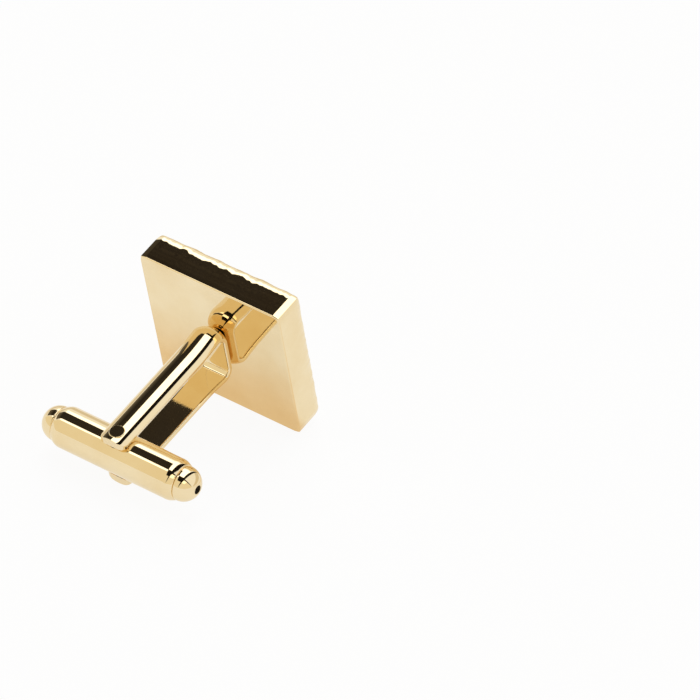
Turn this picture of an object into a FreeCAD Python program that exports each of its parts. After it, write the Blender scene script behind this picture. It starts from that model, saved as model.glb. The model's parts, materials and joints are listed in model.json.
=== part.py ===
import FreeCAD, Part
import math
import os
import Sketcher

# Driving dimensions in millimetres. In the bench frame the toggle lies along X,
# the post leaves the head along -Y and the pivot pin stands along Z.
driving = {
    # Square head with a hammered face
    "head_side": "17.0",
    "head_depth": "3.8",
    "head_front_round": "0.8",
    "head_corner_round": "0.5",
    "head_back_break": "0.12",
    "mark_pitch": "2.7",
    "mark_radius": "5.0",
    "mark_depth": "0.32",
    "mark_shift": "0.4",
    # Shallow recess that locates the fork on the back of the head
    "seat_depth": "0.05",
    "seat_clear": "0.05",
    # Fork: a bent bar, flat inside and crowned outside, that flares a little towards its base
    "pivot_reach": "16.1",
    "arm_width": "3.1",
    "arm_thick": "1.0",
    "arm_rim": "0.4",
    "end_margin": "0.4",
    "end_round": "0.7",
    "bend_inside": "0.4",
    "flare_run": "3.2",
    "flare_rise": "0.25",
    "land_depth": "0.05",
    # Pivot pin with shoulders between the arms and riveted ends, and four flats in the middle
    "pin_radius": "1.0",
    "pin_neck_radius": "0.65",
    "pin_end_radius": "0.8",
    "pin_fit": "0.01",
    "pin_end_proud": "0.04",
    "pin_end_cone": "0.4",
    "pin_end_edge": "0.06",
    "flat_depth": "0.15",
    "flat_length": "2.8",
    # Toggle barrel, bored through and swaged in at both ends
    "bore_radius": "1.25",
    "barrel_wall": "0.9",
    "barrel_straight": "6.5",
    "shoulder_run": "0.95",
    "end_wall": "0.59",
    "pivot_clear": "0.04",
    "side_clear": "0.1",
    # Domed end caps with a vent hole
    "cap_wall": "0.55",
    "cap_edge": "0.12",
    "cap_rim": "0.3",
    "dome_height": "1.55",
    "spigot_length": "1.2",
    "spigot_clear": "0.02",
    "vent_radius": "0.45",
    # Detent plungers, lifted just clear of the corners of the pin
    "plunger_clear": "0.05",
    "plunger_lift": "0.02",
    "plunger_length": "2.0",
    "plunger_edge": "0.2",
    "guide_length": "0.8",
    "guide_clear": "0.2",
    # Coil springs between plunger and cap
    "spring_wire_radius": "0.15",
    "spring_clear": "0.15",
    "spring_pitch": "0.72",
    "spring_seat_gap": "0.02",
}

# Sizes that follow from the sheet, written as its expressions
barrel_radius = "(Sizes.bore_radius + Sizes.barrel_wall)"
barrel_end = "(Sizes.barrel_straight + Sizes.shoulder_run)"
inner_half = f"({barrel_radius} + Sizes.side_clear)"
outer_half = f"({inner_half} + Sizes.arm_thick)"
arm_half = "(Sizes.arm_width / 2)"
arm_end = "(Sizes.pivot_reach + Sizes.pin_end_radius + Sizes.end_margin)"
web_out = "(Sizes.seat_depth + Sizes.land_depth)"
web_in = f"({web_out} - Sizes.arm_thick)"
flare_radius = "((Sizes.flare_run ^ 2 + Sizes.flare_rise ^ 2) / (2 * Sizes.flare_rise))"
flare_sine = f"(Sizes.flare_run / {flare_radius})"
bend_start = f"({web_in} - Sizes.bend_inside * (1 + {flare_sine}))"
bend_end = f"({inner_half} + Sizes.flare_rise - Sizes.bend_inside * sqrt(1 - {flare_sine} ^ 2))"
base_half = f"({bend_end} + Sizes.bend_inside + Sizes.arm_thick)"
cut_margin = "Sizes.arm_thick"
pin_end = f"({outer_half} + Sizes.pin_end_proud)"
pin_end_rim = f"({pin_end} - Sizes.pin_end_edge)"
pin_end_foot = f"({pin_end_rim} - Sizes.pin_end_cone)"
spigot_end = f"({barrel_end} - Sizes.spigot_length)"
plunger_face = "(Sizes.pin_radius + Sizes.plunger_lift)"
plunger_back = f"({plunger_face} + Sizes.plunger_length)"
spring_coil_radius = "(Sizes.bore_radius - Sizes.spring_clear - Sizes.spring_wire_radius)"
guide_radius = f"({spring_coil_radius} - Sizes.spring_wire_radius - Sizes.guide_clear)"

# Turn from one hammer mark's sway to the next, which never repeats
golden_angle = math.pi * (3 - math.sqrt(5))


def fill_sheet(doc):
    """Writes the driving dimensions to a sheet, each with its name as alias."""
    sheet = doc.addObject("Spreadsheet::Sheet", "Sizes")
    for row, (alias, value) in enumerate(driving.items(), 1):
        sheet.set(f"A{row}", alias)
        sheet.set(f"B{row}", value)
        sheet.setAlias(f"B{row}", alias)
    doc.recompute()
    return sheet


def size(text):
    """The value of a sheet expression."""
    return float(FreeCAD.ActiveDocument.Sizes.evalExpression(text))


def new_body(doc, label):
    body = doc.addObject("PartDesign::Body", label)
    body.Label = label
    return body


def sketch_on(body, name, role):
    """A sketch on one of the body's own origin planes."""
    plane = next(item for item in body.Origin.OriginFeatures if item.Role == role)
    sketch = body.newObject("Sketcher::SketchObject", name)
    sketch.AttachmentSupport = [(plane, "")]
    sketch.MapMode = "FlatFace"
    return sketch


def arc_between(start, end, radius, turn):
    """The short arc from start to end; turn is 1 to the left and -1 to the right."""
    chord = end - start
    half = chord.Length / 2
    left = FreeCAD.Vector(-chord.y, chord.x, 0).normalize()
    rise = math.sqrt(max(radius**2 - half**2, 0))
    centre = (start + end) * 0.5 + left * (turn * rise)
    circle = Part.Circle(centre, FreeCAD.Vector(0, 0, 1), radius)
    ends = (start, end) if turn > 0 else (end, start)
    angles = [math.atan2(p.y - centre.y, p.x - centre.x) for p in ends]
    return Part.ArcOfCircle(circle, *angles)


def draw_outline(sketch, corners, arcs=None, closed=True):
    """Draws an outline, or an open path, through corners given as expressions.

    arcs gives the edge that leaves a corner a radius and a turn.
    """
    arcs = arcs or {}
    base = sketch.GeometryCount
    points = [FreeCAD.Vector(size(x), size(y), 0) for x, y in corners]
    edges = len(points) if closed else len(points) - 1
    heads = []
    for i in range(edges):
        start = points[i]
        end = points[(i + 1) % len(points)]
        if i in arcs:
            radius, turn = arcs[i]
            sketch.addGeometry(arc_between(start, end, size(radius), turn), False)
            heads.append(1 if turn > 0 else 2)
        else:
            sketch.addGeometry(Part.LineSegment(start, end), False)
            heads.append(1)
    for i in range(edges if closed else edges - 1):
        after = (i + 1) % edges
        tail = 3 - heads[i]
        sketch.addConstraint(Sketcher.Constraint("Coincident", base + i, tail, base + after, heads[after]))
    for i, pair in enumerate(corners):
        edge = min(i, edges - 1)
        end = heads[edge] if i == edge else 3 - heads[edge]
        for letter, text in zip("XY", pair):
            place_point(sketch, base + edge, end, letter, text)
    for i, (radius, turn) in arcs.items():
        index = sketch.addConstraint(Sketcher.Constraint("Radius", base + i, size(radius)))
        bind(sketch, index, f"radius_{base + i}", radius)


def place_point(sketch, edge, end, letter, text):
    """Holds one coordinate of a point at an expression, measured from the origin."""
    if text == "0":
        axis = -2 if letter == "X" else -1
        sketch.addConstraint(Sketcher.Constraint("PointOnObject", edge, end, axis))
        return
    index = sketch.addConstraint(Sketcher.Constraint(f"Distance{letter}", -1, 1, edge, end, size(text)))
    bind(sketch, index, f"{letter.lower()}_{edge}_{end}", text)


def bind(sketch, index, name, text):
    sketch.renameConstraint(index, name)
    sketch.setExpression(f"Constraints.{name}", text)


def draw_circle(sketch, radius):
    """A circle about the sketch's origin."""
    circle = Part.Circle(FreeCAD.Vector(0, 0, 0), FreeCAD.Vector(0, 0, 1), size(radius))
    edge = sketch.addGeometry(circle, False)
    sketch.addConstraint(Sketcher.Constraint("Coincident", edge, 3, -1, 1))
    index = sketch.addConstraint(Sketcher.Constraint("Radius", edge, size(radius)))
    bind(sketch, index, f"radius_{edge}", radius)


def rectangle(half_width, half_height):
    """The corners of a rectangle about the origin."""
    signs = [(-1, -1), (1, -1), (1, 1), (-1, 1)]
    return [(f"{a} * {half_width}", f"{b} * {half_height}") for a, b in signs]


def cut_through(body, sketch, name):
    """A pocket right through the body, both ways from its sketch."""
    pocket = body.newObject("PartDesign::Pocket", name)
    pocket.Profile = sketch
    pocket.SideType = "Symmetric"
    pocket.Type = "ThroughAll"
    return pocket


def revolve(body, sketch, axis, name, kind="Revolution"):
    feature = body.newObject(f"PartDesign::{kind}", name)
    feature.Profile = sketch
    feature.ReferenceAxis = (sketch, [axis])
    feature.Angle = 360
    return feature


def round_edges(body, base, name, radius, chosen):
    """A fillet on the edges of base for which chosen(edge) holds."""
    FreeCAD.ActiveDocument.recompute()
    names = [f"Edge{i}" for i, edge in enumerate(base.Shape.Edges, 1) if chosen(edge)]
    fillet = body.newObject("PartDesign::Fillet", name)
    fillet.Base = (base, names)
    fillet.setExpression("Radius", radius)
    FreeCAD.ActiveDocument.recompute()
    return fillet


def lies_at(edge, depth):
    """True for an edge whose ends both lie at this depth."""
    return all(math.isclose(v.Y, depth, abs_tol=1e-6) for v in edge.Vertexes)


def runs_along_depth(edge):
    """True for a straight edge from the back towards the face."""
    run = edge.Vertexes[-1].Point - edge.Vertexes[0].Point
    return math.isclose(abs(run.y), edge.Length, rel_tol=1e-6)


def make_head(doc):
    """The square head: y = 0 is its back, its hammered face looks along +Y."""
    body = new_body(doc, "head")
    outline = sketch_on(body, "head_outline", "XZ_Plane")
    draw_outline(outline, rectangle("Sizes.head_side / 2", "Sizes.head_side / 2"))
    block = body.newObject("PartDesign::Pad", "head_block")
    block.Profile = outline
    block.Reversed = True
    block.setExpression("Length", "Sizes.head_depth")

    depth = size("Sizes.head_depth")

    def on_front(edge):
        return lies_at(edge, depth)

    def on_back(edge):
        return lies_at(edge, 0)

    rounded = round_edges(body, block, "front_round", "Sizes.head_front_round", on_front)
    rounded = round_edges(body, rounded, "corner_round", "Sizes.head_corner_round", runs_along_depth)
    round_edges(body, rounded, "back_break", "Sizes.head_back_break", on_back)

    seat = sketch_on(body, "seat_outline", "XZ_Plane")
    half_width = f"({arm_half} + Sizes.seat_clear)"
    draw_outline(seat, rectangle(half_width, f"({base_half} + Sizes.seat_clear)"))
    recess = body.newObject("PartDesign::Pocket", "seat_recess")
    recess.Profile = seat
    recess.setExpression("Length", "Sizes.seat_depth")
    hammer_face(doc, body)
    return body


def hammer_face(doc, body):
    """Shallow round hammer marks in rows from edge to edge of the face, each a little off its row."""
    count = round(size("Sizes.head_side / Sizes.mark_pitch")) + 1
    for row in range(count):
        for column in range(count):
            number = row * count + column
            sway_x = round(math.cos(golden_angle * number), 3)
            sway_z = round(math.sin(golden_angle * number), 3)
            step_x = column - (count - 1) / 2
            step_z = row - (count - 1) / 2
            across = f"{step_x} * Sizes.mark_pitch + {sway_x} * Sizes.mark_shift"
            above = "Sizes.head_depth + Sizes.mark_radius - Sizes.mark_depth"
            up = f"{step_z} * Sizes.mark_pitch + {sway_z} * Sizes.mark_shift"
            mark = body.newObject("PartDesign::SubtractiveSphere", f"mark_{number}")
            mark.setExpression("Radius", "Sizes.mark_radius")
            mark.setExpression("Placement.Base.x", across)
            mark.setExpression("Placement.Base.y", above)
            mark.setExpression("Placement.Base.z", up)
    doc.recompute()


def make_fork(doc):
    """The bent bar: its base stands in the head's recess and its arms reach past the pivot."""
    body = new_body(doc, "fork")
    section = sketch_on(body, "fork_section", "XZ_Plane")
    section.setExpression("AttachmentOffset.Base.z", arm_end)
    fall = "(Sizes.arm_thick - Sizes.arm_rim)"
    crown = f"(({arm_half} ^ 2 + {fall} ^ 2) / (2 * {fall}))"
    rim = f"{inner_half} + Sizes.arm_rim"
    corners = [
        (f"-{arm_half}", inner_half),
        (arm_half, inner_half),
        (arm_half, rim),
        (f"-{arm_half}", rim),
    ]
    draw_outline(section, corners, {2: (crown, 1)})

    bend = sketch_on(body, "fork_bend", "YZ_Plane")
    flare_start = f"{bend_start} - Sizes.flare_run"
    flare_top = f"({inner_half} + Sizes.flare_rise)"
    corners = [
        (f"-{arm_end}", inner_half),
        (flare_start, inner_half),
        (bend_start, flare_top),
        (web_in, bend_end),
        (web_in, f"-{bend_end}"),
        (bend_start, f"-{flare_top}"),
        (flare_start, f"-{inner_half}"),
        (f"-{arm_end}", f"-{inner_half}"),
    ]
    flare = (flare_radius, 1)
    base_bend = ("Sizes.bend_inside", -1)
    draw_outline(bend, corners, {1: flare, 2: base_bend, 4: base_bend, 5: flare}, closed=False)
    doc.recompute()
    bar = body.newObject("PartDesign::AdditivePipe", "fork_bar")
    bar.Profile = section
    bar.Spine = bend

    ends = sketch_on(body, "fork_ends", "XY_Plane")
    straight = f"Sizes.end_round - {arm_end}"
    beyond = f"-{arm_end} - {cut_margin}"
    for sign in ("", "-"):
        outside = f"{sign}({arm_half} + {cut_margin})"
        inside = f"{sign}({arm_half} - Sizes.end_round)"
        corners = [
            (f"{sign}{arm_half}", straight),
            (inside, f"-{arm_end}"),
            (inside, beyond),
            (outside, beyond),
            (outside, straight),
        ]
        draw_outline(ends, corners, {0: ("Sizes.end_round", 1 if sign else -1)})
    cut_through(body, ends, "fork_end_cut")

    land = sketch_on(body, "fork_land", "YZ_Plane")
    near = f"{web_out} + {cut_margin}"
    corners = [
        ("Sizes.seat_depth", f"-{base_half}"),
        (near, f"-{base_half}"),
        (near, base_half),
        ("Sizes.seat_depth", base_half),
    ]
    draw_outline(land, corners)
    cut_through(body, land, "fork_land_cut")

    eyes = sketch_on(body, "eye_bores", "YZ_Plane")
    pivot = "-Sizes.pivot_reach"
    bore = f"{pivot} - Sizes.pin_neck_radius - Sizes.pin_fit"
    mouth = f"{pivot} - Sizes.pin_end_radius - Sizes.pin_fit"
    beyond = f"({outer_half} + {cut_margin})"
    corners = [
        (pivot, beyond),
        (mouth, beyond),
        (mouth, pin_end_rim),
        (bore, pin_end_foot),
        (bore, f"-{pin_end_foot}"),
        (mouth, f"-{pin_end_rim}"),
        (mouth, f"-{beyond}"),
        (pivot, f"-{beyond}"),
    ]
    draw_outline(eyes, corners)
    ends = [FreeCAD.Vector(size(pivot), side * size(beyond), 0) for side in (-1, 1)]
    axis = sketch_axis(eyes, ends, pivot, beyond)
    revolve(body, eyes, axis, "eye_bore_cut", "Groove")
    doc.recompute()
    return body


def sketch_axis(sketch, ends, offset, reach):
    """A construction line along the sketch's Y at the given offset; returns its axis name."""
    edge = sketch.addGeometry(Part.LineSegment(*ends), True)
    for end, sign in ((1, "-"), (2, "")):
        place_point(sketch, edge, end, "X", offset)
        place_point(sketch, edge, end, "Y", f"{sign}{reach}")
    return "Axis0"


def make_pin(doc):
    """The pivot pin about Z: shoulders against the arms, ends riveted in the eyes, four flats between."""
    body = new_body(doc, "pivot_pin")
    half = sketch_on(body, "pin_half", "XZ_Plane")
    flat_radius = "Sizes.pin_end_radius - Sizes.pin_end_edge"
    corners = [
        ("0", f"-{pin_end}"),
        (flat_radius, f"-{pin_end}"),
        ("Sizes.pin_end_radius", f"-{pin_end_rim}"),
        ("Sizes.pin_neck_radius", f"-{pin_end_foot}"),
        ("Sizes.pin_neck_radius", f"-{inner_half}"),
        ("Sizes.pin_radius", f"-{inner_half}"),
        ("Sizes.pin_radius", inner_half),
        ("Sizes.pin_neck_radius", inner_half),
        ("Sizes.pin_neck_radius", pin_end_foot),
        ("Sizes.pin_end_radius", pin_end_rim),
        (flat_radius, pin_end),
        ("0", pin_end),
    ]
    draw_outline(half, corners)
    revolve(body, half, "V_Axis", "pin_round")

    flats = sketch_on(body, "pin_flats", "XY_Plane")
    flat_reach = "(Sizes.pin_radius - Sizes.flat_depth)"
    draw_outline(flats, rectangle(flat_reach, flat_reach))
    draw_outline(flats, rectangle("2 * Sizes.pin_radius", "2 * Sizes.pin_radius"))
    pocket = body.newObject("PartDesign::Pocket", "pin_flat_cut")
    pocket.Profile = flats
    pocket.SideType = "Symmetric"
    pocket.setExpression("Length", "Sizes.flat_length")
    doc.recompute()
    return body


def make_barrel(doc):
    """The toggle's tube about X, with a cross bore for the pin."""
    body = new_body(doc, "toggle_barrel")
    half = sketch_on(body, "barrel_half", "XY_Plane")
    end_radius = "Sizes.bore_radius + Sizes.end_wall"
    fall = "(Sizes.barrel_wall - Sizes.end_wall)"
    shoulder = f"((Sizes.shoulder_run ^ 2 + {fall} ^ 2) / (2 * {fall}))"
    corners = [
        (f"-{barrel_end}", "Sizes.bore_radius"),
        (f"-{barrel_end}", end_radius),
        ("-Sizes.barrel_straight", barrel_radius),
        ("Sizes.barrel_straight", barrel_radius),
        (barrel_end, end_radius),
        (barrel_end, "Sizes.bore_radius"),
    ]
    draw_outline(half, corners, {1: (shoulder, -1), 3: (shoulder, -1)})
    revolve(body, half, "H_Axis", "barrel_tube")

    cross = sketch_on(body, "pivot_bore", "XY_Plane")
    draw_circle(cross, "Sizes.pin_radius + Sizes.pivot_clear")
    cut_through(body, cross, "pivot_bore_cut")
    doc.recompute()
    return body


def make_cap(doc, label):
    """A domed end cap about X: a spigot in the bore, a rim against the barrel's end, a vented dome."""
    body = new_body(doc, label)
    half = sketch_on(body, f"{label}_half", "XY_Plane")
    spigot = "Sizes.bore_radius - Sizes.spigot_clear"
    cap_radius = "(Sizes.bore_radius + Sizes.cap_wall)"
    rim_end = f"({barrel_end} + Sizes.cap_rim)"
    fall = f"({cap_radius} - Sizes.vent_radius)"
    dome = f"((Sizes.dome_height ^ 2 + {fall} ^ 2) / (2 * {fall}))"
    corners = [
        (spigot_end, "Sizes.vent_radius"),
        (spigot_end, spigot),
        (barrel_end, spigot),
        (barrel_end, f"{cap_radius} - Sizes.cap_edge"),
        (f"{barrel_end} + Sizes.cap_edge", cap_radius),
        (rim_end, cap_radius),
        (f"{rim_end} + Sizes.dome_height", "Sizes.vent_radius"),
    ]
    draw_outline(half, corners, {5: (dome, -1)})
    revolve(body, half, "H_Axis", f"{label}_turned")
    doc.recompute()
    return body


def make_plunger(doc, label):
    """A detent plunger about X: a flat face to the pin and a guide inside the spring."""
    body = new_body(doc, label)
    half = sketch_on(body, f"{label}_half", "XY_Plane")
    radius = "(Sizes.bore_radius - Sizes.plunger_clear)"
    guide_end = f"{plunger_back} + Sizes.guide_length"
    corners = [
        (plunger_face, "0"),
        (plunger_face, f"{radius} - Sizes.plunger_edge"),
        (f"{plunger_face} + Sizes.plunger_edge", radius),
        (plunger_back, radius),
        (plunger_back, guide_radius),
        (guide_end, guide_radius),
        (guide_end, "0"),
    ]
    draw_outline(half, corners)
    revolve(body, half, "H_Axis", f"{label}_turned")
    doc.recompute()
    return body


def arc_from(start, tangent, end):
    """The arc that leaves start along tangent and reaches end."""
    chord = end - start
    along = chord.normalize()
    length = (end - start).Length
    aside = tangent - along * tangent.dot(along)
    angle = tangent.getAngle(along)
    middle = (start + end) * 0.5 + aside.normalize() * (length / 2 * math.tan(angle / 2))
    return Part.Arc(start, middle, end).toShape()


def biarc(start, tangent, end, end_tangent):
    """Two arcs that join smoothly and keep the directions at both ends."""
    span = end - start
    both = tangent + end_tangent
    spread = 2 * (1 - tangent.dot(end_tangent))
    reach = (-span.dot(both) + math.sqrt(span.dot(both) ** 2 + spread * span.dot(span))) / spread
    joint = (start + tangent * reach + end - end_tangent * reach) * 0.5
    second = arc_from(end, end_tangent * -1, joint)
    return [arc_from(start, tangent, joint), second]


def least_gap(points, apart, wire):
    """The least clear distance between points at least this many steps apart on a wire's path."""
    lengths = []
    for i, start in enumerate(points):
        for end in points[i + apart:]:
            lengths.append((end - start).Length)
    return min(lengths) - 2 * wire


def make_spring(doc, label):
    """A coil spring about X between the plunger's back and the cap's spigot."""
    wire = size("Sizes.spring_wire_radius")
    coil = size(spring_coil_radius)
    seat = wire + size("Sizes.spring_seat_gap")
    first = size(plunger_back) + seat
    last = size(spigot_end) - seat
    quarters = max(4, round(4 * (last - first) / size("Sizes.spring_pitch")))
    pitch = 4 * (last - first) / quarters

    def point(angle):
        along = first + pitch * angle / math.tau
        return FreeCAD.Vector(along, coil * math.cos(angle), coil * math.sin(angle))

    def heading(angle):
        way = FreeCAD.Vector(pitch / math.tau, -coil * math.sin(angle), coil * math.cos(angle))
        return way.normalize()

    edges = []
    for quarter in range(quarters):
        angle = quarter * math.pi / 2
        after = angle + math.pi / 2
        edges += biarc(point(angle), heading(angle), point(after), heading(after))
    path = Part.Wire(Part.__sortEdges__(edges))
    circle = Part.Circle(point(0), heading(0), wire)
    shell = Part.BRepOffsetAPI.MakePipeShell(path)
    shell.add(Part.Wire(circle.toShape()))
    shell.build()
    shell.makeSolid()
    spring = doc.addObject("Part::Feature", label)
    spring.Label = label
    spring.Shape = shell.shape()
    steps = 12
    points = [point(step * math.pi / 2 / steps) for step in range(steps * quarters + 1)]
    print(label, "least gap to itself", round(least_gap(points, 2 * steps, wire), 3))
    return spring


def lying_turn():
    """The lean about X at which the head's lower back edge and the lower eye rest on one plane."""
    edge = size("Sizes.head_back_break")
    across = edge + size(arm_end)
    drop = size("Sizes.head_side / 2") - edge - size(outer_half)
    return math.atan2(drop, across) + math.asin(edge / math.hypot(drop, across))


def place_parts(head, fork, at_pivot, mirrored):
    """Lays the assembly down: lowest point on z = 0, middle of its box on the Z axis."""
    turn = FreeCAD.Rotation(FreeCAD.Vector(1, 0, 0), math.degrees(lying_turn()))
    lean = FreeCAD.Placement(FreeCAD.Vector(0, 0, 0), turn)
    pivot = FreeCAD.Placement(FreeCAD.Vector(0, -size("Sizes.pivot_reach"), 0), FreeCAD.Rotation())
    half_turn = FreeCAD.Placement(FreeCAD.Vector(0, 0, 0), FreeCAD.Rotation(FreeCAD.Vector(0, 0, 1), 180))
    places = {part: lean for part in (head, fork)}
    places.update({part: lean * pivot for part in at_pivot})
    places.update({part: lean * pivot * half_turn for part in mirrored})
    box = FreeCAD.BoundBox()
    for part, place in places.items():
        part.Placement = place
        box.add(part.Shape.optimalBoundingBox(False, False))
    shift = FreeCAD.Placement(FreeCAD.Vector(-box.Center.x, -box.Center.y, -box.ZMin), FreeCAD.Rotation())
    for part, place in places.items():
        part.Placement = shift * place
    return list(places)


def check(doc, parts):
    """Stops before anything is written if an object failed or a shape is not a sound solid."""
    failed = [item.Label for item in doc.Objects if {"Invalid", "Error"} & set(item.State)]
    if failed:
        raise RuntimeError(f"failed objects: {failed}")
    for part in parts:
        shape = part.Shape
        if shape.isNull() or not shape.isValid() or len(shape.Solids) != 1:
            raise RuntimeError(f"unsound shape: {part.Label}")


def main():
    doc = FreeCAD.newDocument("cufflink")
    fill_sheet(doc)
    head = make_head(doc)
    fork = make_fork(doc)
    pin = make_pin(doc)
    barrel = make_barrel(doc)
    sides = {}
    for side in ("left", "right"):
        sides[side] = [
            make_cap(doc, f"end_cap_{side}"),
            make_plunger(doc, f"detent_plunger_{side}"),
            make_spring(doc, f"detent_spring_{side}"),
        ]
    doc.recompute()
    parts = place_parts(head, fork, [pin, barrel] + sides["right"], sides["left"])
    doc.recompute()
    check(doc, parts)
    os.makedirs("parts", exist_ok=True)
    for part in parts:
        part.Shape.exportStep(f"parts/{part.Label}.step")
        box = part.Shape.BoundBox
        spans = [round(span, 3) for span in (box.XLength, box.YLength, box.ZLength)]
        print(part.Label, round(part.Shape.Volume, 4), spans)
    print("lean in degrees", round(math.degrees(lying_turn()), 4))


main()
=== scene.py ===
import bmesh
import bpy
import json
import math
from mathutils import Matrix, Vector, noise


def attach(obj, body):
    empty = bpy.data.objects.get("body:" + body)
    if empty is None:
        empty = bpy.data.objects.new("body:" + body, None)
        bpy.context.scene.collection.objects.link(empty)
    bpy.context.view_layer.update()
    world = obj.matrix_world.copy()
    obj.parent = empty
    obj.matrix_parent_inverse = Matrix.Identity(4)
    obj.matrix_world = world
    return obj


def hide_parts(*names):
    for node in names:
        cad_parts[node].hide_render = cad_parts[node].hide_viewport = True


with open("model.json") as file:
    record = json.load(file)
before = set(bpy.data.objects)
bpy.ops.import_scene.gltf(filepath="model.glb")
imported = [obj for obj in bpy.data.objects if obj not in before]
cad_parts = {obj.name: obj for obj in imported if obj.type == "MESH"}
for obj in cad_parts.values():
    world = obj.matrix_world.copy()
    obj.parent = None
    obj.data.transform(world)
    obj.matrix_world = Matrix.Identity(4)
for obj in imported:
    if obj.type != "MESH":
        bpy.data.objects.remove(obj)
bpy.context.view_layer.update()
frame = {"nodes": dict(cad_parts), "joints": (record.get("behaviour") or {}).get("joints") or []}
nodes = frame["nodes"]
swivel = next(joint for joint in frame["joints"] if joint["name"] == "toggle_swivel")

# Bench axes, in millimetres: x along the toggle, y towards the head, z along the pivot pin
pivotReach = 16.1
benchX = Vector((1, 0, 0))
benchZ = Vector(swivel["axis"]).normalized()
benchY = benchZ.cross(benchX)
atPivot = Matrix((benchX, benchY, benchZ)).transposed().to_4x4()
atPivot.translation = Vector(swivel["pos_m"])
atPivot = atPivot @ Matrix.Scale(0.001, 4)
atHead = atPivot @ Matrix.Translation((0, pivotReach, 0))

# Clean-up that all pieces share: distances in millimetres, angle in degrees
cleanSet = {
    "mergeDist": 1e-4,
    "slack": 1e-3,
    "smoothBelow": 40,
}


def mergeSpots(bm):
    bmesh.ops.remove_doubles(bm, verts=bm.verts, dist=cleanSet["mergeDist"])


def closeSeams(bm):
    mergeSpots(bm)
    bmesh.ops.recalc_face_normals(bm, faces=bm.faces)


def mirrorAcross(bm, axis):
    whole = bm.verts[:] + bm.edges[:] + bm.faces[:]
    bmesh.ops.mirror(bm, geom=whole, axis=axis, merge_dist=cleanSet["mergeDist"])


def openEdges(bm):
    return [edge for edge in bm.edges if edge.is_boundary]


def sharpEdges(bm, least):
    return [edge for edge in bm.edges if edge.calc_face_angle(0) > math.radians(least)]


def roundEdges(bm, edges, width, steps):
    bmesh.ops.bevel(bm, geom=edges, offset=width, segments=steps, profile=0.5, affect="EDGES",
                    material=-1, clamp_overlap=True)


def vertsOf(geom):
    return [item for item in geom if isinstance(item, bmesh.types.BMVert)]


def facesOf(geom):
    return [item for item in geom if isinstance(item, bmesh.types.BMFace)]


def linkMesh(bm, name):
    mesh = bpy.data.meshes.new(name)
    bm.to_mesh(mesh)
    bm.free()
    item = bpy.data.objects.new(name, mesh)
    bpy.context.scene.collection.objects.link(item)
    return item


def finishPiece(bm, name, place, body, node, material):
    closeSeams(bm)
    bmesh.ops.transform(bm, matrix=place, verts=bm.verts)
    for face in bm.faces:
        face.smooth = True
    for edge in bm.edges:
        edge.smooth = edge.calc_face_angle(0) < math.radians(cleanSet["smoothBelow"])
    piece = linkMesh(bm, name)
    piece.data.materials.append(material)
    shade = piece.modifiers.new("evenShade", "WEIGHTED_NORMAL")
    shade.keep_sharp = True
    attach(piece, body)
    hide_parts(node)
    print(name, "made with", len(piece.data.polygons), "faces")
    return piece


# Gold plating, polished, with fine rubbing marks
goldSet = {
    "light": (0.90, 0.755, 0.49),
    "deep": (0.86, 0.69, 0.41),
    "roughness": (0.02, 0.05),
    "span": (0.3, 0.7),
    "patchScale": 260,
    "patchDetail": 4,
    "rubScale": 2600,
    "rubDetail": 6,
    "rubCoarse": 0.65,
    "rubStretch": (1, 9, 1),
    "rubDepth": 0.0000012,
    "waveScale": 700,
    "waveDetail": 2,
    "waveDepth": 0.000004,
    "bumpShare": 0.5,
}


def newMaterial(name):
    material = bpy.data.materials.new(name)
    material.use_nodes = True
    tree = material.node_tree
    return material, tree, tree.nodes["Principled BSDF"]


def addNode(tree, kind, sockets):
    node = tree.nodes.new(kind)
    for socket, value in sockets.items():
        if isinstance(value, bpy.types.NodeSocket):
            tree.links.new(value, node.inputs[socket])
        else:
            node.inputs[socket].default_value = value
    return node


def stepUp(tree, value, edge, soft):
    ramp = addNode(tree, "ShaderNodeMapRange", {
        "Value": value, "From Min": edge - soft, "From Max": edge + soft})
    ramp.interpolation_type = "SMOOTHSTEP"
    return ramp.outputs["Result"]


def joined(tree, operation, first, second):
    node = addNode(tree, "ShaderNodeMath", {0: first, 1: second})
    node.operation = operation
    return node.outputs["Value"]


def between(tree, value, span, soft):
    return joined(tree, "SUBTRACT", stepUp(tree, value, span[0], soft), stepUp(tree, value, span[1], soft))


def tinted(tree, mask, under, over):
    # The colours of a mix node are its inputs 6 and 7 and its output 2
    mix = tree.nodes.new("ShaderNodeMix")
    mix.data_type = "RGBA"
    tree.links.new(mask, mix.inputs["Factor"])
    for socket, colour in ((6, under), (7, over)):
        if isinstance(colour, bpy.types.NodeSocket):
            tree.links.new(colour, mix.inputs[socket])
        else:
            mix.inputs[socket].default_value = (*colour, 1)
    return mix.outputs[2]


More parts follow.
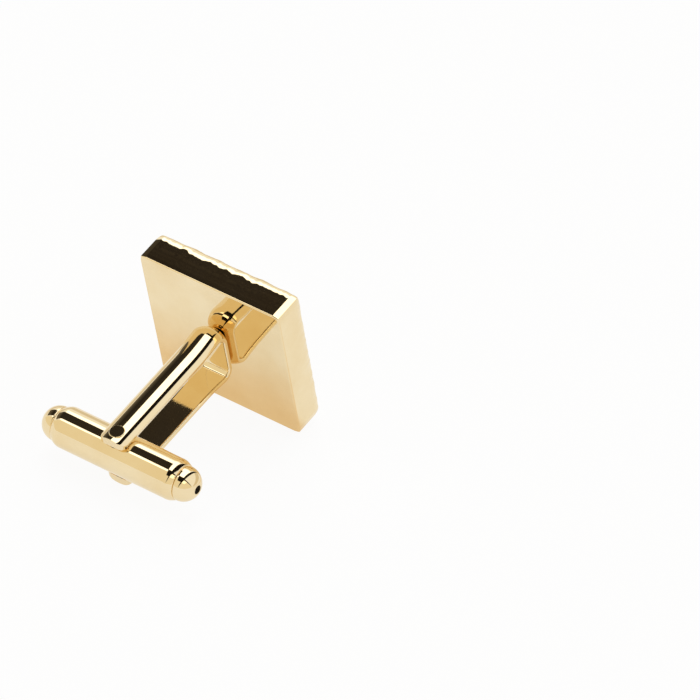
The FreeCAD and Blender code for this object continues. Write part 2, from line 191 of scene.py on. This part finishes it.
def makeGold():
    gold, tree, shader = newMaterial("polishedGold")
    spot = tree.nodes.new("ShaderNodeTexCoord").outputs["Object"]
    low, high = goldSet["span"]
    patch = addNode(tree, "ShaderNodeTexNoise", {
        "Vector": spot, "Scale": goldSet["patchScale"], "Detail": goldSet["patchDetail"]})
    tone = addNode(tree, "ShaderNodeValToRGB", {"Fac": patch.outputs["Fac"]})
    tone.color_ramp.elements[0].position = low
    tone.color_ramp.elements[0].color = (*goldSet["deep"], 1)
    tone.color_ramp.elements[1].position = high
    tone.color_ramp.elements[1].color = (*goldSet["light"], 1)
    stretch = addNode(tree, "ShaderNodeMapping", {"Vector": spot, "Scale": goldSet["rubStretch"]})
    rub = addNode(tree, "ShaderNodeTexNoise", {
        "Vector": stretch.outputs["Vector"], "Scale": goldSet["rubScale"], "Detail": goldSet["rubDetail"],
        "Roughness": goldSet["rubCoarse"]})
    gloss = addNode(tree, "ShaderNodeMapRange", {
        "Value": rub.outputs["Fac"], "From Min": low, "From Max": high,
        "To Min": goldSet["roughness"][0], "To Max": goldSet["roughness"][1]})
    wave = addNode(tree, "ShaderNodeTexNoise", {
        "Vector": spot, "Scale": goldSet["waveScale"], "Detail": goldSet["waveDetail"]})
    swell = addNode(tree, "ShaderNodeBump", {
        "Height": wave.outputs["Fac"], "Strength": goldSet["bumpShare"], "Distance": goldSet["waveDepth"]})
    bump = addNode(tree, "ShaderNodeBump", {
        "Height": rub.outputs["Fac"], "Strength": goldSet["bumpShare"], "Distance": goldSet["rubDepth"],
        "Normal": swell.outputs["Normal"]})
    shader.inputs["Metallic"].default_value = 1
    tree.links.new(tone.outputs["Color"], shader.inputs["Base Color"])
    tree.links.new(gloss.outputs["Result"], shader.inputs["Roughness"])
    tree.links.new(bump.outputs["Normal"], shader.inputs["Normal"])
    return gold


# Bright drawn spring wire and plungers, inside the barrel
steelSet = {
    "colour": (0.56, 0.56, 0.58),
    "roughness": (0.18, 0.34),
    "grainScale": 3000,
    "grainDetail": 3,
    "grainStretch": (12, 1, 1),
}


def makeSteel():
    steel, tree, shader = newMaterial("drawnSteel")
    spot = tree.nodes.new("ShaderNodeTexCoord").outputs["Object"]
    stretch = addNode(tree, "ShaderNodeMapping", {"Vector": spot, "Scale": steelSet["grainStretch"]})
    grain = addNode(tree, "ShaderNodeTexNoise", {
        "Vector": stretch.outputs["Vector"], "Scale": steelSet["grainScale"],
        "Detail": steelSet["grainDetail"]})
    gloss = addNode(tree, "ShaderNodeMapRange", {
        "Value": grain.outputs["Fac"],
        "To Min": steelSet["roughness"][0], "To Max": steelSet["roughness"][1]})
    shader.inputs["Base Color"].default_value = (*steelSet["colour"], 1)
    shader.inputs["Metallic"].default_value = 1
    tree.links.new(gloss.outputs["Result"], shader.inputs["Roughness"])
    return steel


# Square head with rows of shallow hammer marks on its face
headSet = {
    "side": 17.0,
    "depth": 3.78,
    "edgeFall": 0.6,
    "edgeRun": 1.25,
    "edgeWave": 0.3,
    "wavePitch": 1.1,
    "rippleShare": 0.5,
    "rippleFiner": 2.7,
    "rippleLayer": 5,
    "backBreak": 0.2,
    "cornerRound": 0.5,
    "gridSteps": 150,
    "edgeSteps": 14,
    "breakSteps": 4,
    "markPitch": 2.7,
    "markRadius": 5.0,
    "markDepth": 0.32,
    "markShift": 0.4,
    "markReach": 3,
    "ridgeSoft": 0.025,
}


def hammerMarks():
    pitch = headSet["markPitch"]
    count = round(headSet["side"] / pitch) + 1
    golden = math.pi * (3 - math.sqrt(5))  # golden angle, so that no two marks shift alike
    marks = []
    for row in range(count):
        for column in range(count):
            turn = golden * (row * count + column)
            markX = (column - (count - 1) / 2) * pitch + headSet["markShift"] * math.cos(turn)
            markZ = (row - (count - 1) / 2) * pitch + headSet["markShift"] * math.sin(turn)
            marks.append((markX, markZ))
    return marks


def hammeredHeight(spot, marks):
    # Soft lowest of the turned edge and the marks around, so that the ridges between marks stay rounded
    soft = headSet["ridgeSoft"]
    radius = headSet["markRadius"]
    above = headSet["depth"] + radius - headSet["markDepth"]
    total = math.exp((headSet["depth"] - spot.y) / soft)
    for markX, markZ in marks:
        apart = math.hypot(spot.x - markX, spot.z - markZ)
        if apart < headSet["markReach"]:
            total += math.exp((headSet["depth"] - above + math.sqrt(radius ** 2 - apart ** 2)) / soft)
    return min(spot.y, headSet["depth"] - soft * math.log(total))


def edgeReach(spot):
    # How far the beaten edge reaches back here: it comes and goes along each side
    near = spot / headSet["wavePitch"]
    fine = near * headSet["rippleFiner"]
    ripple = noise.noise((fine.x, headSet["rippleLayer"], fine.z))
    wave = noise.noise((near.x, 0, near.z)) + headSet["rippleShare"] * ripple
    return headSet["edgeRun"] * (1 + headSet["edgeWave"] * wave)


def roundCorner(spot):
    # Turns the square corner into a round one, loop by loop
    start = headSet["side"] / 2 - headSet["cornerRound"]
    over = Vector((abs(spot.x) - start, abs(spot.z) - start))
    if min(over) > 0:
        over *= max(over) / over.length
        spot.x = math.copysign(start + over.x, spot.x)
        spot.z = math.copysign(start + over.y, spot.z)


def growRim(bm, half, level):
    rim = openEdges(bm)
    reach = max(abs(vert.co.x) for edge in rim for vert in edge.verts)
    grown = bmesh.ops.extrude_edge_only(bm, edges=rim)
    for vert in vertsOf(grown["geom"]):
        for axis in (0, 2):
            if abs(vert.co[axis]) > reach - cleanSet["mergeDist"]:
                vert.co[axis] = math.copysign(half, vert.co[axis])
        vert.co.y = level


def makeHead(material):
    bm = bmesh.new()
    half = headSet["side"] / 2
    curve = headSet["edgeFall"]
    steps = headSet["gridSteps"]
    bmesh.ops.create_grid(bm, x_segments=steps, y_segments=steps, size=half - curve)
    bmesh.ops.rotate(bm, matrix=Matrix.Rotation(math.radians(90), 3, "X"), verts=bm.verts)
    bmesh.ops.translate(bm, vec=(0, headSet["depth"], 0), verts=bm.verts)
    for step in range(1, headSet["edgeSteps"] + 1):
        turn = math.radians(90) * step / headSet["edgeSteps"]
        growRim(bm, half - curve + curve * math.sin(turn), headSet["depth"])
    marks = hammerMarks()
    for vert in bm.verts:
        out = max(abs(vert.co.x), abs(vert.co.z)) - half + curve
        if out > 0:
            vert.co.y -= edgeReach(vert.co) * (1 - math.sqrt(max(1 - (out / curve) ** 2, 0)))
        vert.co.y = hammeredHeight(vert.co, marks)
    # The back edge is broken by a small quarter round, and the back closed
    broken = headSet["backBreak"]
    growRim(bm, half, broken)
    for step in range(1, headSet["breakSteps"] + 1):
        turn = math.radians(90) * step / headSet["breakSteps"]
        growRim(bm, half - broken + broken * math.cos(turn), broken - broken * math.sin(turn))
    bmesh.ops.holes_fill(bm, edges=openEdges(bm), sides=0)
    for vert in bm.verts:
        roundCorner(vert.co)
    finishPiece(bm, "hammeredHead", atHead, "stud", "head", material)


# Fork: a bar, flat inside and crowned outside, bent into a U that flares to its base
forkSet = {
    "webOut": 0.1,
    "innerHalf": 2.25,
    "thick": 1.0,
    "rim": 0.4,
    "armWidth": 3.1,
    "armEnd": 17.3,
    "endRound": 0.7,
    "endSteps": 3,
    "bendInside": 0.75,
    "bendSteps": 20,
    "flareRun": 3.2,
    "flareRise": 0.25,
    "flareSteps": 8,
    "columns": 12,
    "rimRound": 0.09,
    "rimAngle": 30,
    "insideRound": 0.22,
    "insideAngle": 60,
    "roundSteps": 4,
}


def crownHeight(aside):
    fall = forkSet["thick"] - forkSet["rim"]
    radius = (forkSet["armWidth"] ** 2 / 4 + fall ** 2) / (2 * fall)
    return forkSet["thick"] - radius + math.sqrt(radius ** 2 - aside ** 2)


def clearCap(bm, cap):
    # Takes out the section that is left inside the bar
    bmesh.ops.delete(bm, geom=[face for face in cap if face.is_valid], context="FACES")


def growSection(bm, cap, half, depth):
    # One more length of bar, ending in a section of this half width
    grown = bmesh.ops.extrude_face_region(bm, geom=cap)["geom"]
    widest = max(abs(vert.co.x) for vert in vertsOf(grown))
    crowned = bm.verts.layers.int["crowned"]
    for vert in vertsOf(grown):
        vert.co.x *= half / widest
        vert.co.y = depth
        vert.co.z = forkSet["innerHalf"] + (crownHeight(vert.co.x) if vert[crowned] else 0)
    clearCap(bm, cap)
    return facesOf(grown)


def spinCap(bm, cap, centre, turn, steps):
    turned = bmesh.ops.spin(bm, geom=cap, cent=centre, axis=(1, 0, 0), angle=turn, steps=steps)
    clearCap(bm, cap)
    return facesOf(turned["geom_last"])


def makeFork(material):
    bm = bmesh.new()
    crowned = bm.verts.layers.int.new("crowned")
    inner = forkSet["innerHalf"]
    armHalf = forkSet["armWidth"] / 2
    endRound = forkSet["endRound"]
    # The blunt end is the first section, stood upright
    bmesh.ops.create_grid(bm, x_segments=forkSet["columns"], y_segments=1, size=1)
    for vert in bm.verts:
        vert[crowned] = int(vert.co.y > 0)
        vert.co.x *= armHalf - endRound
        vert.co.z = inner + (crownHeight(vert.co.x) if vert[crowned] else 0)
        vert.co.y = -forkSet["armEnd"]
    cap = list(bm.faces)
    for step in range(1, forkSet["endSteps"] + 1):
        turn = math.radians(90) * step / forkSet["endSteps"]
        cap = growSection(bm, cap, armHalf - endRound * (1 - math.sin(turn)),
                          endRound * (1 - math.cos(turn)) - forkSet["armEnd"])
    # Straight arm, then outwards along the flare and round the bend to the middle of the base
    run, rise, bend = forkSet["flareRun"], forkSet["flareRise"], forkSet["bendInside"]
    flare = (run ** 2 + rise ** 2) / (2 * rise)
    lean = math.asin(run / flare)
    bendStart = forkSet["webOut"] - forkSet["thick"] - bend * (1 + math.sin(lean))
    cap = growSection(bm, cap, armHalf, bendStart - run)
    cap = spinCap(bm, cap, (0, bendStart - run, inner + flare), lean, forkSet["flareSteps"])
    corner = (0, bendStart + bend * math.sin(lean), inner + rise - bend * math.cos(lean))
    cap = spinCap(bm, cap, corner, -lean - math.radians(90), forkSet["bendSteps"])
    grown = bmesh.ops.extrude_face_region(bm, geom=cap)["geom"]
    for vert in vertsOf(grown):
        vert.co.z = 0
    clearCap(bm, cap)
    clearCap(bm, facesOf(grown))
    mirrorAcross(bm, "Z")
    mergeSpots(bm)
    bmesh.ops.holes_fill(bm, edges=openEdges(bm), sides=0)
    closeSeams(bm)
    rims = [edge for edge in sharpEdges(bm, forkSet["rimAngle"])
            if all(vert[crowned] for vert in edge.verts)]
    roundEdges(bm, rims, forkSet["rimRound"], forkSet["roundSteps"])
    # The long edges inside, up to where the blunt ends turn in
    full = armHalf - cleanSet["slack"]
    inside = [edge for edge in sharpEdges(bm, forkSet["insideAngle"])
              if all(abs(vert.co.x) > full and not vert[crowned] for vert in edge.verts)]
    roundEdges(bm, inside, forkSet["insideRound"], forkSet["roundSteps"])
    finishPiece(bm, "forkBar", atHead, "stud", "fork", material)


# Toggle: a tube swaged in at both ends, with a domed and vented cap in each
toggleSet = {
    "bore": 1.25,
    "radius": 2.15,
    "straight": 6.5,
    "shoulder": 7.0,
    "shoulderFall": 0.106,
    "endRadius": 1.84,
    "end": 7.45,
    "pinHole": 1.04,
    "drillLength": 6.45,
    "drillSides": 48,
    "edgeRound": 0.12,
    "edgeAngle": 25,
    "edgeSteps": 4,
    "turnSteps": 128,
    "shoulderSteps": 10,
}
capSet = {
    "spigotEnd": 6.25,
    "spigotRadius": 1.23,
    "radius": 1.8,
    "rimRound": 0.16,
    "rimSteps": 8,
    "tip": 9.3,
    "vent": 0.45,
    "edgeRound": 0.08,
    "edgeSteps": 3,
    "shadeMargin": 0.01,
    "domeSteps": 18,
    # Dark mottled colours painted inside the vent bore: painted shade for the deep narrow bore
    "paintedShade": ((0.012, 0.009, 0.006), (0.04, 0.028, 0.016)),
    "paintedShadeScale": 4000,
    "paintedShadeDetail": 3,
    "paintedShadeRough": 0.75,
}


def lineTo(bm, tip, along, out):
    grown = bmesh.ops.extrude_vert_indiv(bm, verts=[tip])["verts"][0]
    grown.co = (along, out, 0)
    return grown


def turnTip(bm, tip, centre, turn, steps):
    made = bmesh.ops.spin(bm, geom=[tip], cent=centre, axis=(0, 0, 1), angle=turn, steps=steps)
    return vertsOf(made["geom_last"])[0]


def arcTo(bm, tip, along, out, steps):
    # A falling arc that leaves the tip level with the axis
    run = along - tip.co.x
    fall = tip.co.y - out
    radius = (run ** 2 + fall ** 2) / (2 * fall)
    turn = math.asin(run / radius)
    return turnTip(bm, tip, (tip.co.x, tip.co.y - radius, 0), -turn, steps)


def turnProfile(bm):
    mergeSpots(bm)
    bmesh.ops.spin(bm, geom=bm.verts[:] + bm.edges[:], cent=(0, 0, 0), axis=(1, 0, 0),
                   angle=math.tau, steps=toggleSet["turnSteps"], use_merge=True)
    closeSeams(bm)


def drillPinHole(bm):
    drill = bmesh.new()
    radius = toggleSet["pinHole"]
    bmesh.ops.create_cone(drill, cap_ends=True, segments=toggleSet["drillSides"], radius1=radius,
                          radius2=radius, depth=toggleSet["drillLength"])
    drillBit = linkMesh(drill, "drillBit")
    blank = linkMesh(bm, "barrelBlank")
    bore = blank.modifiers.new("pinHole", "BOOLEAN")
    bore.object = drillBit
    bore.operation = "DIFFERENCE"
    graph = bpy.context.evaluated_depsgraph_get()
    drilled = bpy.data.meshes.new_from_object(blank.evaluated_get(graph))
    bm = bmesh.new()
    bm.from_mesh(drilled)
    bpy.data.meshes.remove(drilled)
    for item in (blank, drillBit):
        bpy.data.meshes.remove(item.data)
    return bm


def makeBarrel(material):
    bm = bmesh.new()
    tip = bmesh.ops.create_vert(bm, co=(0, toggleSet["radius"], 0))["vert"][0]
    tip = lineTo(bm, tip, toggleSet["straight"], toggleSet["radius"])
    tip = arcTo(bm, tip, toggleSet["shoulder"], toggleSet["radius"] - toggleSet["shoulderFall"],
                toggleSet["shoulderSteps"])
    tip = lineTo(bm, tip, toggleSet["end"], toggleSet["endRadius"])
    tip = lineTo(bm, tip, toggleSet["end"], toggleSet["bore"])
    lineTo(bm, tip, 0, toggleSet["bore"])
    turnProfile(bm)
    mirrorAcross(bm, "X")
    closeSeams(bm)
    roundEdges(bm, sharpEdges(bm, toggleSet["edgeAngle"]), toggleSet["edgeRound"], toggleSet["edgeSteps"])
    bm = drillPinHole(bm)
    finishPiece(bm, "barrelTube", atPivot, "toggle", "toggle_barrel", material)


def makeVentShade():
    # Painted shade: a dark mottled colour for the inside of the vent bore, standing in for its shade
    shade, tree, shader = newMaterial("ventShade")
    spot = tree.nodes.new("ShaderNodeTexCoord").outputs["Object"]
    paintedShade = addNode(tree, "ShaderNodeTexNoise", {
        "Vector": spot, "Scale": capSet["paintedShadeScale"], "Detail": capSet["paintedShadeDetail"]})
    tone = addNode(tree, "ShaderNodeValToRGB", {"Fac": paintedShade.outputs["Fac"]})
    tone.color_ramp.elements[0].color = (*capSet["paintedShade"][0], 1)
    tone.color_ramp.elements[1].color = (*capSet["paintedShade"][1], 1)
    tree.links.new(tone.outputs["Color"], shader.inputs["Base Color"])
    shader.inputs["Roughness"].default_value = capSet["paintedShadeRough"]
    return shade


def makeCap(side, turn, material, ventShade):
    bm = bmesh.new()
    tip = bmesh.ops.create_vert(bm, co=(capSet["spigotEnd"], capSet["vent"], 0))["vert"][0]
    tip = lineTo(bm, tip, capSet["spigotEnd"], capSet["spigotRadius"])
    tip = lineTo(bm, tip, toggleSet["end"], capSet["spigotRadius"])
    rim = capSet["rimRound"]
    tip = lineTo(bm, tip, toggleSet["end"], capSet["radius"] - rim)
    corner = (toggleSet["end"] + rim, capSet["radius"] - rim, 0)
    tip = turnTip(bm, tip, corner, math.radians(-90), capSet["rimSteps"])
    tip = arcTo(bm, tip, capSet["tip"], capSet["vent"], capSet["domeSteps"])
    lineTo(bm, tip, capSet["spigotEnd"], capSet["vent"])
    turnProfile(bm)
    roundEdges(bm, sharpEdges(bm, toggleSet["edgeAngle"]), capSet["edgeRound"], capSet["edgeSteps"])
    # Faces inside the vent bore take the second material, the painted shade
    shaded = capSet["vent"] + capSet["shadeMargin"]
    for face in bm.faces:
        spot = face.calc_center_median()
        face.material_index = int(math.hypot(spot.y, spot.z) < shaded)
    place = atPivot @ Matrix.Rotation(turn, 4, "Z")
    cap = finishPiece(bm, "domedCap" + side.capitalize(), place, "toggle", "end_cap_" + side, material)
    cap.data.materials.append(ventShade)


# Camera of the photograph, in metres
cameraSet = {
    "place": (0.3360407, -0.4660438, 0.4097796),
    "aim": (0.0122426, 0.0104994, 0.0106037),
    "roll": 3.7198,
    "lens": 370.26,
    "sensor": 36.0,
    "nearest": 0.01,
}


def addCamera():
    camera = bpy.data.cameras.new("photoCamera")
    camera.lens = cameraSet["lens"]
    camera.sensor_width = cameraSet["sensor"]
    camera.clip_start = cameraSet["nearest"]
    rig = bpy.data.objects.new("photoCamera", camera)
    bpy.context.scene.collection.objects.link(rig)
    place = Vector(cameraSet["place"])
    look = Vector(cameraSet["aim"]) - place
    roll = Matrix.Rotation(math.radians(cameraSet["roll"]), 3, "Z")
    turn = look.to_track_quat("-Z", "Y").to_matrix() @ roll
    rig.matrix_world = Matrix.Translation(place) @ turn.to_4x4()
    bpy.context.scene.camera = rig


# White table top
floorSet = {
    "size": 4,
    "cells": 4,
    "colour": (0.97, 0.97, 0.97),
    "roughness": 0.9,
    "sheen": 0.1,
    "cameraLift": 0.92,
    "mirrorLift": 0.75,
    # Colour and reach of the painted warm bounce light, seen on the paper only in reflections
    "glow": (0.92, 0.75, 0.55),
    "glowY": (0.0015, 0.0075, 0.0095),
}


def addFloor():
    bm = bmesh.new()
    cells = floorSet["cells"]
    bmesh.ops.create_grid(bm, x_segments=cells, y_segments=cells, size=floorSet["size"] / 2)
    floor = linkMesh(bm, "tableTop")
    paper, tree, shader = newMaterial("whitePaper")
    shader.inputs["Base Color"].default_value = (*floorSet["colour"], 1)
    shader.inputs["Roughness"].default_value = floorSet["roughness"]
    shader.inputs["Specular IOR Level"].default_value = floorSet["sheen"]
    ray = tree.nodes.new("ShaderNodeLightPath")
    seen = joined(tree, "MULTIPLY", ray.outputs["Is Camera Ray"], floorSet["cameraLift"])
    lift = addNode(tree, "ShaderNodeMath", {
        0: ray.outputs["Is Glossy Ray"], 1: floorSet["mirrorLift"], 2: seen})
    lift.operation = "MULTIPLY_ADD"
    # Towards the foot of the head, the paper as the metal mirrors it is painted a warm gold: painted
    # bounce light from the gold, seen only in reflections
    where = tree.nodes.new("ShaderNodeTexCoord").outputs["Object"]
    spot = addNode(tree, "ShaderNodeSeparateXYZ", {"Vector": where})
    start, full, foot = floorSet["glowY"]
    rising = stepUp(tree, spot.outputs["Y"], (start + full) / 2, (full - start) / 2)
    near = joined(tree, "SUBTRACT", rising, stepUp(tree, spot.outputs["Y"], foot, (foot - full) / 2))
    near = joined(tree, "MULTIPLY", near, ray.outputs["Is Glossy Ray"])
    glow = addNode(tree, "ShaderNodeEmission", {
        "Color": tinted(tree, near, (1, 1, 1), floorSet["glow"]), "Strength": 1})
    both = addNode(tree, "ShaderNodeMixShader", {
        0: lift.outputs["Value"], 1: shader.outputs["BSDF"], 2: glow.outputs["Emission"]})
    tree.links.new(both.outputs["Shader"], tree.nodes["Material Output"].inputs["Surface"])
    floor.data.materials.append(paper)


# Studio tent: white all round, warmer in front and behind, with a strip light and a lit corner overhead,
# a dark opening on its left, and a dark seam, gap and flap on its right.
# Places are on the roof, as x and y over height
studioSet = {
    "white": (1, 1, 1),
    "warm": (0.90, 0.82, 0.64),
    "rear": (0.76, 0.68, 0.54),
    "rearY": 1.9,
    "rearSoft": 0.4,
    "dark": (0.010, 0.008, 0.007),
    "grey": (0.15, 0.13, 0.10),
    "room": (0.030, 0.025, 0.018),
    "openingX": (-4.5, -0.42),
    "openingY": -0.37,
    "openingSlope": 0.4,
    "openingTop": 0.18,
    "fadeX": (-2.4, -0.85),
    "seamX": (0.17, 0.45),
    "frontY": -0.57,
    "gapX": -0.3,
    "gapY": (-0.62, -0.44),
    "flapX": (-0.48, 0.25),
    "flapY": (-1.2, -0.34),
    "roomScale": 110,
    "roomDetail": 4,
    "roomStep": (0.58, 0.14),
    "stripX": (-0.9, 0.17),
    "stripY": (-0.57, 0.9),
    "cornerX": (0.45, 1.1),
    "cornerY": (-1.3, -0.62),
    "stripLight": 2.0,
    "soft": 0.03,
    "crisp": 0.01,
    "lowest": 0.05,
}


def addWorld():
    world = bpy.data.worlds.new("studioTent")
    bpy.context.scene.world = world
    world.use_nodes = True
    tree = world.node_tree
    way = tree.nodes.new("ShaderNodeTexCoord").outputs["Generated"]
    parts = addNode(tree, "ShaderNodeSeparateXYZ", {"Vector": way})
    height = joined(tree, "MAXIMUM", parts.outputs["Z"], studioSet["lowest"])
    acrossRoof = joined(tree, "DIVIDE", parts.outputs["X"], height)
    alongRoof = joined(tree, "DIVIDE", parts.outputs["Y"], height)
    soft, crisp = studioSet["soft"], studioSet["crisp"]
    slant = addNode(tree, "ShaderNodeMath", {0: acrossRoof, 1: studioSet["openingSlope"], 2: alongRoof})
    slant.operation = "MULTIPLY_ADD"
    ahead = joined(tree, "SUBTRACT", stepUp(tree, alongRoof, studioSet["openingY"], soft),
                   stepUp(tree, slant.outputs["Value"], studioSet["openingTop"], soft))
    opening = joined(tree, "MULTIPLY", between(tree, acrossRoof, studioSet["openingX"], soft),
                     joined(tree, "MAXIMUM", ahead, 0.0))
    fade = addNode(tree, "ShaderNodeMapRange", {
        "Value": acrossRoof, "From Min": studioSet["fadeX"][0], "From Max": studioSet["fadeX"][1]})
    depth = tinted(tree, fade.outputs["Result"], studioSet["grey"], studioSet["dark"])
    room = addNode(tree, "ShaderNodeTexNoise", {
        "Vector": way, "Scale": studioSet["roomScale"], "Detail": studioSet["roomDetail"]})
    mottle = stepUp(tree, room.outputs["Fac"], *studioSet["roomStep"])
    depth = tinted(tree, mottle, depth, studioSet["room"])
    seam = between(tree, acrossRoof, studioSet["seamX"], crisp)
    gap = joined(tree, "MULTIPLY", stepUp(tree, acrossRoof, studioSet["gapX"], soft),
                 between(tree, alongRoof, studioSet["gapY"], crisp))
    flap = joined(tree, "MULTIPLY", between(tree, acrossRoof, studioSet["flapX"], soft),
                  between(tree, alongRoof, studioSet["flapY"], soft))
    gap = joined(tree, "MAXIMUM", gap, flap)
    front = joined(tree, "SUBTRACT", 1.0, stepUp(tree, alongRoof, studioSet["frontY"], soft))
    colour = tinted(tree, front, studioSet["white"], studioSet["warm"])
    behind = stepUp(tree, alongRoof, studioSet["rearY"], studioSet["rearSoft"])
    colour = tinted(tree, behind, colour, studioSet["rear"])
    colour = tinted(tree, joined(tree, "MAXIMUM", seam, gap), colour, studioSet["dark"])
    colour = tinted(tree, opening, colour, depth)
    strip = joined(tree, "MULTIPLY", between(tree, acrossRoof, studioSet["stripX"], soft),
                   between(tree, alongRoof, studioSet["stripY"], soft))
    corner = joined(tree, "MULTIPLY", between(tree, acrossRoof, studioSet["cornerX"], soft),
                    between(tree, alongRoof, studioSet["cornerY"], soft))
    ray = tree.nodes.new("ShaderNodeLightPath")
    colour = tinted(tree, ray.outputs["Is Camera Ray"], colour, studioSet["white"])
    level = addNode(tree, "ShaderNodeMapRange", {
        "Value": joined(tree, "MAXIMUM", strip, corner), "To Min": 1.0, "To Max": studioSet["stripLight"]})
    tree.links.new(colour, tree.nodes["Background"].inputs["Color"])
    tree.links.new(level.outputs["Result"], tree.nodes["Background"].inputs["Strength"])


bpy.context.scene.view_settings.view_transform = "Standard"
addCamera()
addFloor()
addWorld()
print("camera, table and studio set")

gold = makeGold()
steel = makeSteel()
for name, node in nodes.items():
    node.data.materials.clear()
    node.data.materials.append(steel if name.startswith("detent") else gold)
print("gold and steel given to", len(nodes), "solids")

makeHead(gold)
makeFork(gold)
makeBarrel(gold)
ventShade = makeVentShade()
makeCap("right", 0, gold, ventShade)
makeCap("left", math.pi, gold, ventShade)
